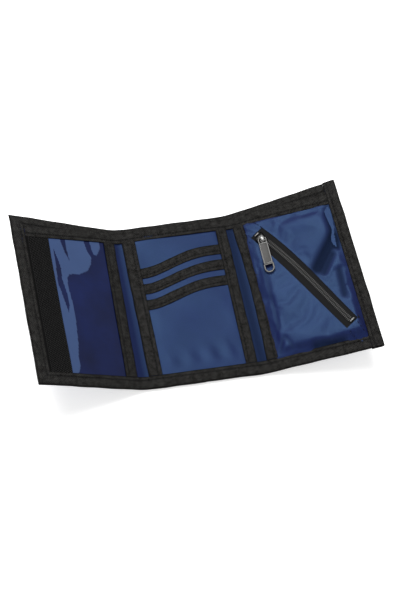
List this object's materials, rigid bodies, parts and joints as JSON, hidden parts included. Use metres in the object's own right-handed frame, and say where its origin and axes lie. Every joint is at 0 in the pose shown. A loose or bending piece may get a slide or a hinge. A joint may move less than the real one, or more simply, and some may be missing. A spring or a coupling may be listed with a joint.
{
  "type": "trifold wallet",
  "caption": "Cloth trifold wallet with taped edges: clear window and hook strip, slanted card slots, and a zipped coin pocket; outer panels hinge at the folds, slider and pull tab move.",
  "frame": {"origin": "centre of the outer face of the centre panel, which lies on the table", "axes": "+X from the window panel towards the coin pocket panel, +Y towards the mouth of the note compartment, +Z out of the inner face"},
  "size_m": [0.2442, 0.13, 0.0452],
  "materials": {
    "nylon_cloth": "plain woven nylon, soft sheen",
    "binding_tape": "ribbed woven tape, matt",
    "hook_tape": "fine stiff hooks",
    "loop_tape": "soft brushed loops",
    "clear_film": "clear glossy sheet",
    "zip_tape": "fine knitted tape",
    "zip_coil": "satin nylon coil",
    "gunmetal": "dark polished plating"
  },
  "bodies": {
    "centre_panel": {"centre_shell": "nylon_cloth", "centre_lining": "nylon_cloth", "centre_shell_top_binding": "binding_tape", "centre_lining_top_binding": "binding_tape", "centre_bottom_binding": "binding_tape", "card_block_backing": "nylon_cloth", "card_pocket_rear": "nylon_cloth", "card_pocket_middle": "nylon_cloth", "card_pocket_front": "nylon_cloth", "card_slot_binding_rear": "binding_tape", "card_slot_binding_middle": "binding_tape", "card_slot_binding_front": "binding_tape", "card_block_binding_left": "binding_tape", "card_block_binding_right": "binding_tape", "left_fold_shell": "nylon_cloth", "left_fold_lining": "nylon_cloth", "left_fold_shell_top_binding": "binding_tape", "left_fold_lining_top_binding": "binding_tape", "left_fold_bottom_binding": "binding_tape", "right_fold_shell": "nylon_cloth", "right_fold_lining": "nylon_cloth", "right_fold_shell_top_binding": "binding_tape", "right_fold_lining_top_binding": "binding_tape", "right_fold_bottom_binding": "binding_tape"},
    "left_panel": {"left_shell": "nylon_cloth", "left_lining": "nylon_cloth", "left_shell_top_binding": "binding_tape", "left_lining_top_binding": "binding_tape", "left_bottom_binding": "binding_tape", "left_edge_binding": "binding_tape", "window_film": "clear_film", "window_binding": "binding_tape", "hook_strip": "hook_tape"},
    "right_panel": {"right_shell": "nylon_cloth", "right_lining": "nylon_cloth", "right_shell_top_binding": "binding_tape", "right_lining_top_binding": "binding_tape", "right_bottom_binding": "binding_tape", "right_edge_binding": "binding_tape", "loop_strip": "loop_tape", "coin_pocket_back": "nylon_cloth", "coin_pocket_binding": "binding_tape", "coin_pocket_upper": "nylon_cloth", "coin_pocket_lower": "nylon_cloth", "zip_end_tab_top": "nylon_cloth", "zip_end_tab_bottom": "nylon_cloth", "zip_tape_upper": "zip_tape", "zip_tape_lower": "zip_tape", "zip_coil_upper": "zip_coil", "zip_coil_lower": "zip_coil", "zip_top_stop": "gunmetal", "zip_bottom_stop": "gunmetal"},
    "zip_slider": {"slider_body": "gunmetal", "slider_back_plate": "gunmetal", "slider_crown": "gunmetal"},
    "zip_pull": {"pull_tab": "gunmetal"}
  },
  "joints": [
    {"name": "left_fold", "type": "hinge", "parent": "centre_panel", "child": "left_panel", "pos_m": [-0.043, 0, 0.01015], "axis": [0, 1, 0], "range_deg": [-29, 151], "deforming": ["left_fold_shell", "left_fold_lining", "left_fold_shell_top_binding", "left_fold_lining_top_binding", "left_fold_bottom_binding"]},
    {"name": "right_fold", "type": "hinge", "parent": "centre_panel", "child": "right_panel", "pos_m": [0.043, 0, 0.00735], "axis": [0, -1, 0], "range_deg": [-20, 160], "deforming": ["right_fold_shell", "right_fold_lining", "right_fold_shell_top_binding", "right_fold_lining_top_binding", "right_fold_bottom_binding"]},
    {"name": "zip_slide", "type": "slide", "parent": "right_panel", "child": "zip_slider", "axis": [0.4712, -0.8652, 0.1715], "range_m": [0, 0.085]},
    {"name": "pull_swing", "type": "hinge", "parent": "zip_slider", "child": "zip_pull", "pos_m": [0.06222, 0.03514, 0.01556], "axis": [-0.9397, 0, -0.342], "range_deg": [0, 180]}
  ]
}
